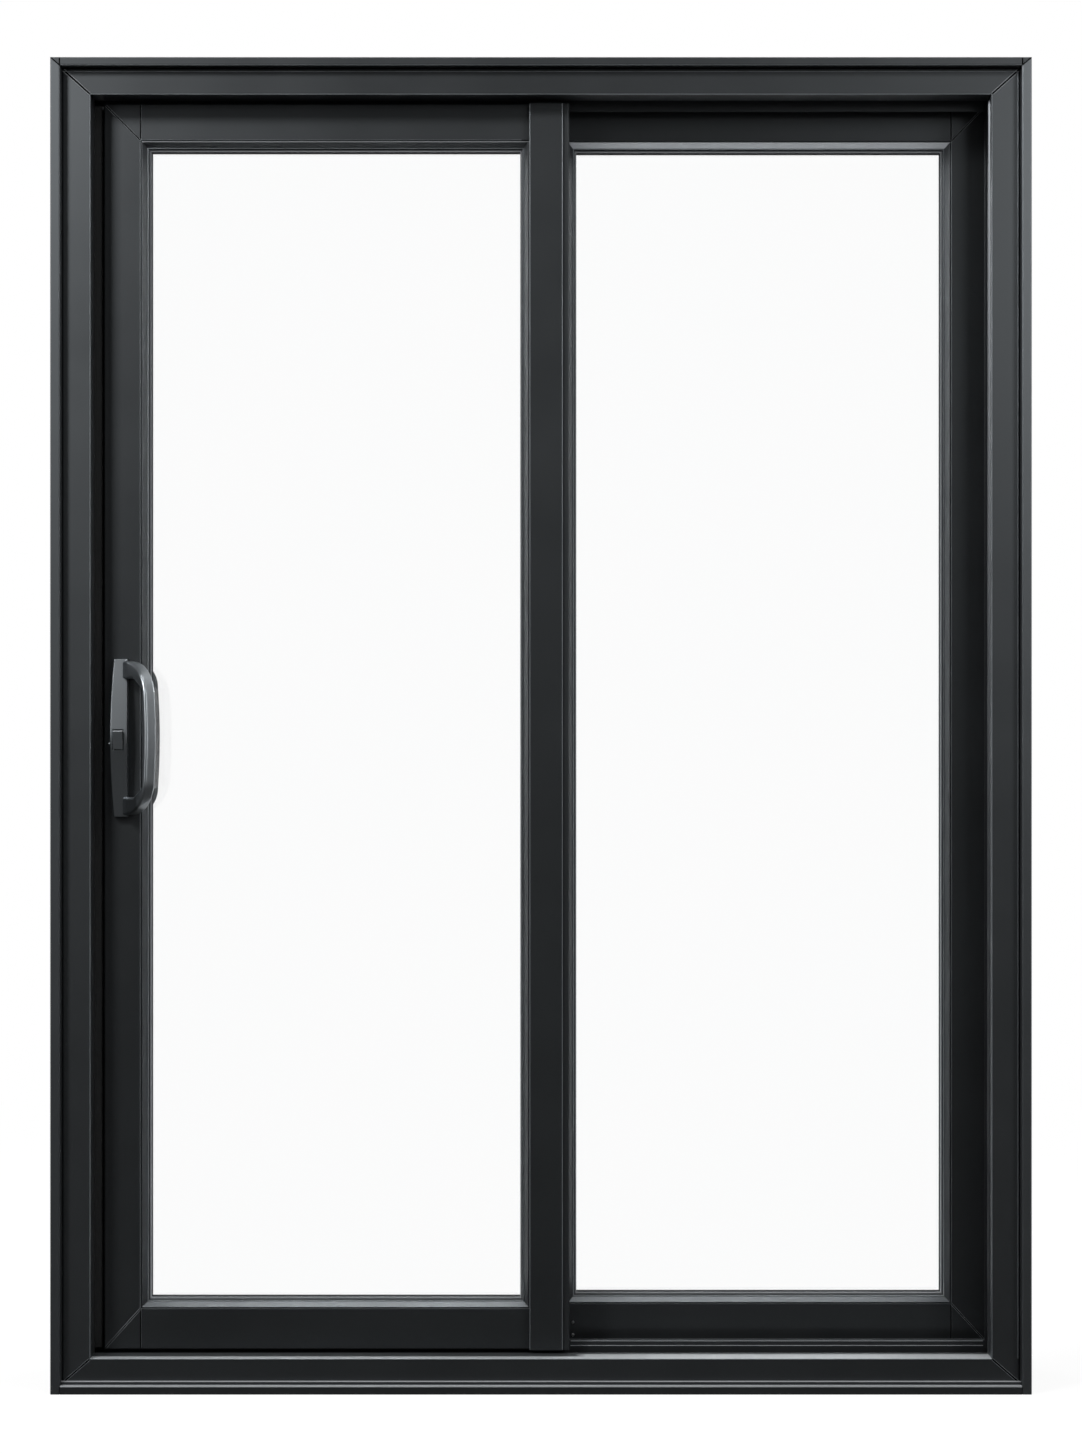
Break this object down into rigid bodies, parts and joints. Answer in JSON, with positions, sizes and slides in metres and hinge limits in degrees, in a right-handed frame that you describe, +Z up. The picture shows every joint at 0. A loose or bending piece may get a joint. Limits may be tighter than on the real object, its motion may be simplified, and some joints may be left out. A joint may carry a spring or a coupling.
{
  "type": "glass sliding patio door",
  "caption": "Framed glass patio door with a fixed panel and a panel that slides past it on a sill track, with a pull handle and thumb latch",
  "frame": {"origin": "middle of the sill's underside, half way through the frame's depth", "axes": "+X to the right as seen from the room, +Y from the room to the outside, +Z up"},
  "size_m": [1.515, 0.1751, 2.064],
  "materials": {
    "frame": "satin anthracite black powder coat",
    "glass": "clear float glass",
    "spacer": "dark anodised spacer bar",
    "seal": "matt black seal",
    "handle": "satin black powder coat",
    "steel": "brushed stainless steel",
    "roller": "moulded nylon",
    "track": "mill aluminium track"
  },
  "bodies": {
    "frame": {"fixed_back_pane": "glass", "fixed_bottom_rail": "frame", "fixed_front_pane": "glass", "fixed_interlock": "frame", "fixed_jamb_stile": "frame", "fixed_left_bead": "frame", "fixed_low_bead": "frame", "fixed_meeting_stile": "frame", "fixed_right_bead": "frame", "fixed_sill_retainer": "frame", "fixed_spacer": "spacer", "fixed_top_bead": "frame", "fixed_top_rail": "frame", "head_frame": "frame", "head_guide": "frame", "head_trim": "frame", "keeper": "steel", "left_jamb": "frame", "left_jamb_seal": "seal", "left_trim": "frame", "right_jamb": "frame", "right_jamb_strip": "seal", "right_trim": "frame", "sill_frame": "frame", "sill_track": "track", "sill_trim": "frame"},
    "sliding_panel": {"slide_back_pane": "glass", "slide_bottom_rail": "frame", "slide_front_pane": "glass", "slide_interlock": "frame", "slide_left_bead": "frame", "slide_lock_stile": "frame", "slide_low_bead": "frame", "slide_meeting_stile": "frame", "slide_right_bead": "frame", "slide_roller_left": "roller", "slide_roller_right": "roller", "slide_spacer": "spacer", "slide_top_bead": "frame", "slide_top_rail": "frame", "front_handle": "handle", "back_handle": "handle", "lock_faceplate": "steel"},
    "thumb_latch": {"thumb_latch": "handle"}
  },
  "joints": [
    {"name": "panel_slide", "type": "slide", "parent": "frame", "child": "sliding_panel", "axis": [1, 0, 0], "range_m": [0, 0.57]},
    {"name": "latch_rock", "type": "hinge", "parent": "sliding_panel", "child": "thumb_latch", "pos_m": [-0.6595, -0.046, 1.004], "axis": [1, 0, 0], "range_deg": [-12, 0]}
  ]
}
